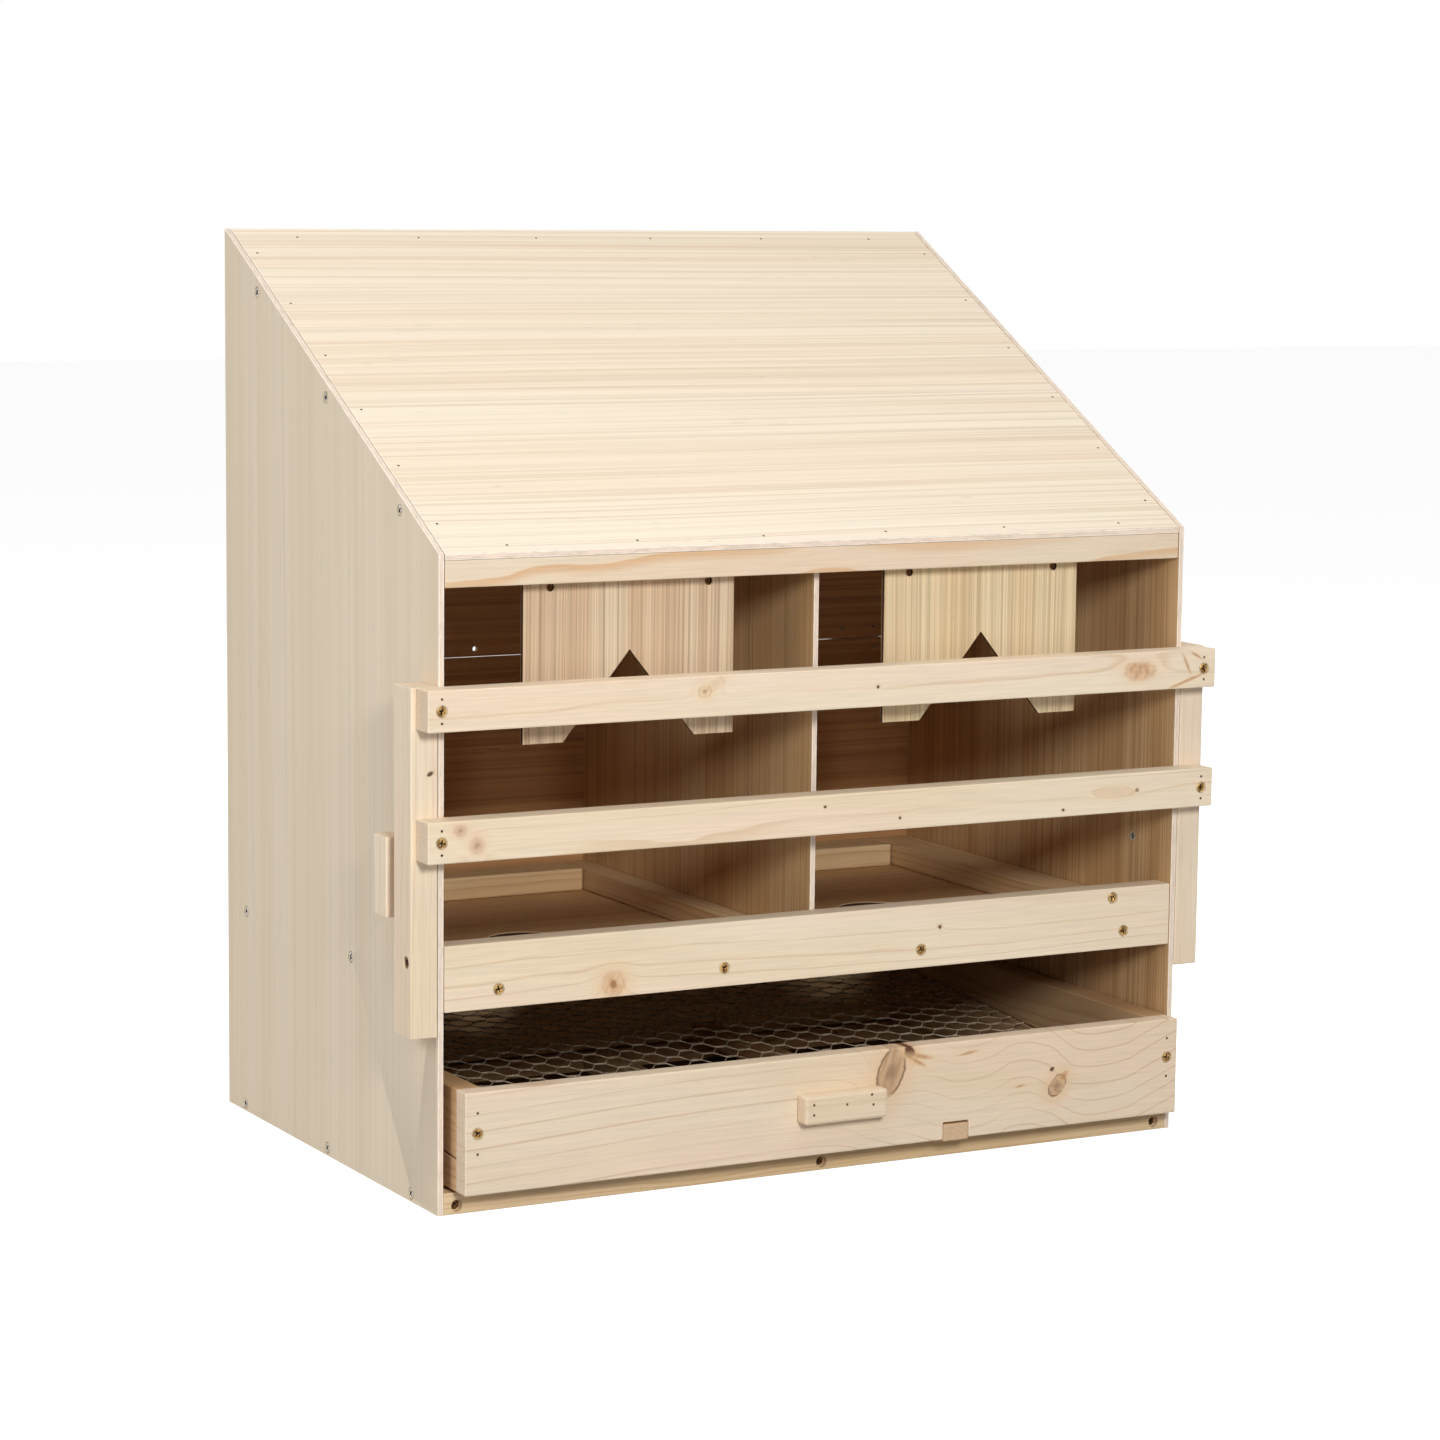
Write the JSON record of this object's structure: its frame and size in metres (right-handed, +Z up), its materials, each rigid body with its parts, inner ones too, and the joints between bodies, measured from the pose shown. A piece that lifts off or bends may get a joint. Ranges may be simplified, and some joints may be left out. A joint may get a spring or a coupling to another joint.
{
  "type": "chicken nesting box",
  "caption": "Wooden hen nesting box with a sloping roof, curtained nests side by side, a fold-down perch frame, a wire-netting egg drawer below and a rear door.",
  "frame": {"origin": "on the ground, at the middle of the side panels' footprint", "axes": "+Z up, the nest openings and the drawer face -Y, +X to the right seen from the front"},
  "size_m": [0.63, 0.4242, 0.65],
  "materials": {
    "plywood": "bare pale veneer",
    "pine": "planed bare pine",
    "yellow_zinc_screws": "yellow zinc plate",
    "zinc_screws": "bright zinc plate",
    "brad_steel": "dull steel",
    "hinge_steel": "zinc-plated sheet",
    "galvanised_wire": "galvanised wire"
  },
  "bodies": {
    "carcass": {"bottom_front_rail": "pine", "bottom_rail_screws": "yellow_zinc_screws", "bottom_rear_rail": "pine", "button_screw": "yellow_zinc_screws", "centre_divider": "plywood", "centre_floor_batten": "pine", "centre_runner": "pine", "curtain_screws": "yellow_zinc_screws", "front_board": "pine", "front_board_screws": "yellow_zinc_screws", "front_lintel": "pine", "hinge_lower_leaves": "hinge_steel", "hinge_lower_screws": "zinc_screws", "hinge_pins": "hinge_steel", "left_curtain": "plywood", "left_floor_batten": "pine", "left_front_floor_batten": "pine", "left_nest_floor": "plywood", "left_rear_floor_batten": "pine", "left_roof_batten": "pine", "left_runner": "pine", "left_side_panel": "plywood", "left_stop_block": "pine", "lower_rear_panel": "plywood", "panel_brads": "brad_steel", "perch_pivot_screws": "yellow_zinc_screws", "rear_top_rail": "pine", "right_curtain": "plywood", "right_floor_batten": "pine", "right_front_floor_batten": "pine", "right_nest_floor": "plywood", "right_rear_floor_batten": "pine", "right_roof_batten": "pine", "right_runner": "pine", "right_side_panel": "plywood", "right_stop_block": "pine", "roof_panel": "plywood", "side_panel_screws": "zinc_screws", "stop_block_screws": "zinc_screws"},
    "egg_drawer": {"drawer_back": "pine", "drawer_brads": "brad_steel", "drawer_front": "pine", "drawer_handle": "pine", "drawer_left_side": "pine", "drawer_left_strip": "pine", "drawer_right_side": "pine", "drawer_right_strip": "pine", "drawer_screws": "yellow_zinc_screws", "drawer_tie_batten": "pine", "wire_netting": "galvanised_wire"},
    "perch_frame": {"left_perch_bar": "pine", "right_perch_bar": "pine", "upper_perch_rail": "pine", "lower_perch_rail": "pine", "perch_screws": "yellow_zinc_screws", "perch_brads": "brad_steel"},
    "rear_door": {"rear_door_panel": "plywood", "hinge_door_leaves": "hinge_steel", "door_hinge_screws": "zinc_screws"},
    "door_button": {"turn_button": "pine"}
  },
  "joints": [
    {"name": "drawer_slide", "type": "slide", "parent": "carcass", "child": "egg_drawer", "axis": [0, -1, 0], "range_m": [0, 0.3]},
    {"name": "perch_swing", "type": "hinge", "parent": "carcass", "child": "perch_frame", "pos_m": [0, -0.182, 0.173], "axis": [1, 0, 0], "range_deg": [0, 94]},
    {"name": "rear_door_swing", "type": "hinge", "parent": "carcass", "child": "rear_door", "pos_m": [0, 0.1917, 0.327], "axis": [-1, 0, 0], "range_deg": [0, 175]},
    {"name": "door_button_turn", "type": "hinge", "parent": "carcass", "child": "door_button", "pos_m": [0, 0.1933, 0.62745], "axis": [0, 1, 0], "range_deg": [0, 90]}
  ]
}
